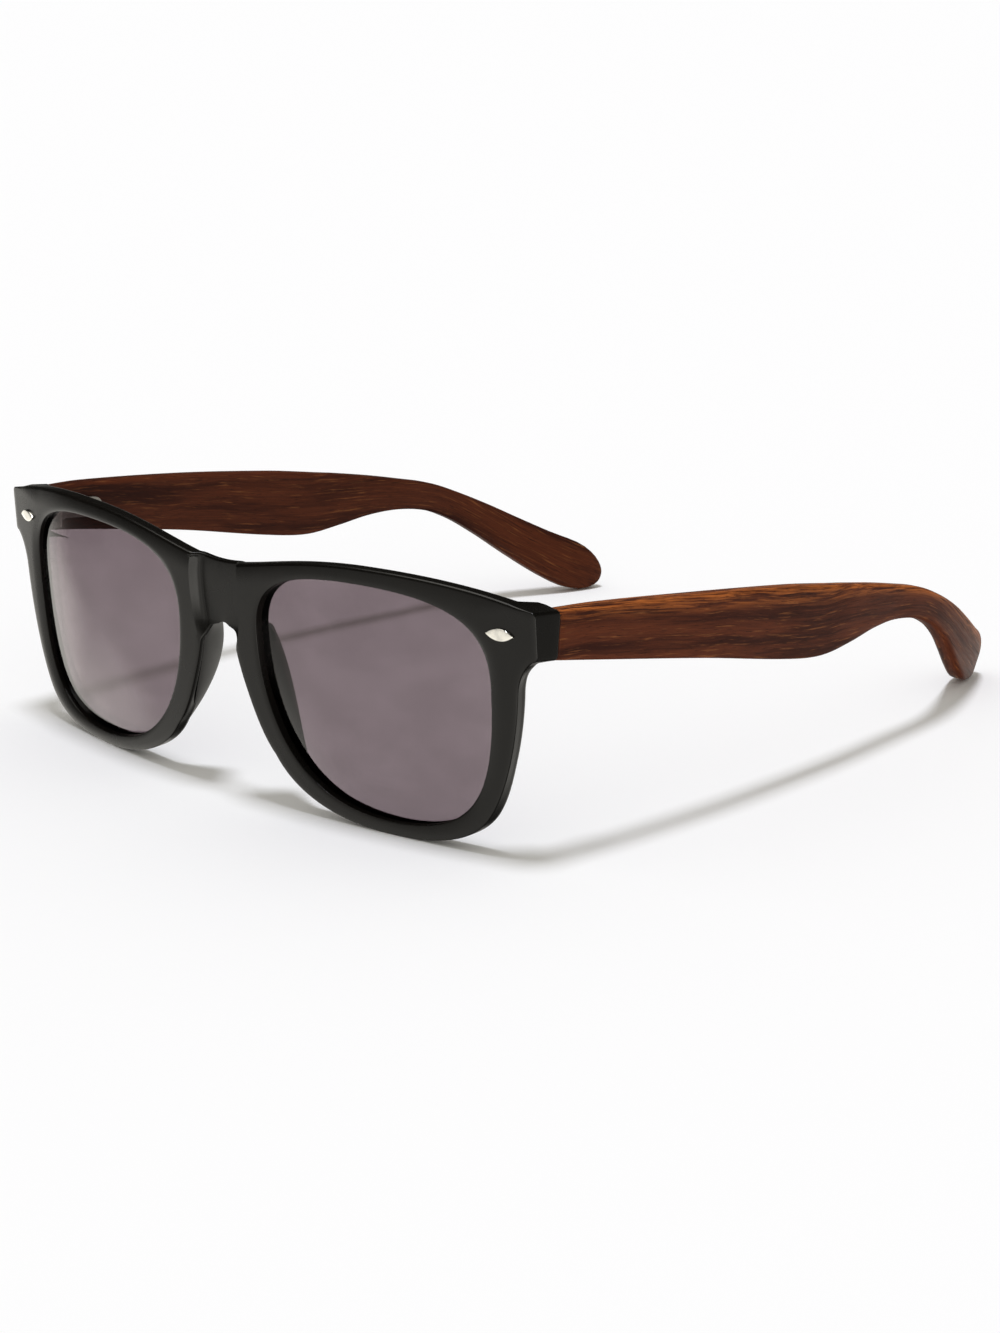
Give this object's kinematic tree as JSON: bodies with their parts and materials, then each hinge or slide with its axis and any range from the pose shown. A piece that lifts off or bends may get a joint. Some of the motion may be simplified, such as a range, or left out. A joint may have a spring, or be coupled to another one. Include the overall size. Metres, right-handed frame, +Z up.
{
  "type": "sunglasses",
  "caption": "Sunglasses with a moulded black front, grey tinted lenses and folding wooden temples on barrel hinges.",
  "frame": {"origin": "on the floor under the middle of the open sunglasses", "axes": "+Z up, the front faces -Y, the temples run to +Y, +X is the wearer's left"},
  "size_m": [0.1486, 0.1524, 0.0475],
  "materials": {
    "front": "satin black moulding",
    "lens": "grey tint, see-through",
    "pad": "satin black",
    "rivet": "polished, pale",
    "hinge": "tumbled nickel silver",
    "screw": "machined steel",
    "temple": "oiled dark red-brown wood with lengthwise grain"
  },
  "bodies": {
    "front": {"front_frame": "front", "lens_left": "lens", "lens_right": "lens", "nose_pad_left": "pad", "nose_pad_right": "pad", "corner_rivet_left": "rivet", "corner_rivet_right": "rivet", "hinge_front_leaf_left": "hinge", "hinge_front_leaf_right": "hinge", "hinge_screw_left": "screw", "hinge_screw_right": "screw"},
    "left_temple": {"temple_left": "temple", "hinge_temple_leaf_left": "hinge", "temple_leaf_screws_left": "screw"},
    "right_temple": {"temple_right": "temple", "hinge_temple_leaf_right": "hinge", "temple_leaf_screws_right": "screw"}
  },
  "joints": [
    {"name": "left_hinge", "type": "hinge", "parent": "front", "child": "left_temple", "pos_m": [0.06675, -0.06111, 0.03942], "axis": [0, 0.1208, 0.9927], "range_deg": [0, 84]},
    {"name": "right_hinge", "type": "hinge", "parent": "front", "child": "right_temple", "pos_m": [-0.06675, -0.06111, 0.03942], "axis": [0, -0.1208, -0.9927], "range_deg": [0, 64]}
  ]
}
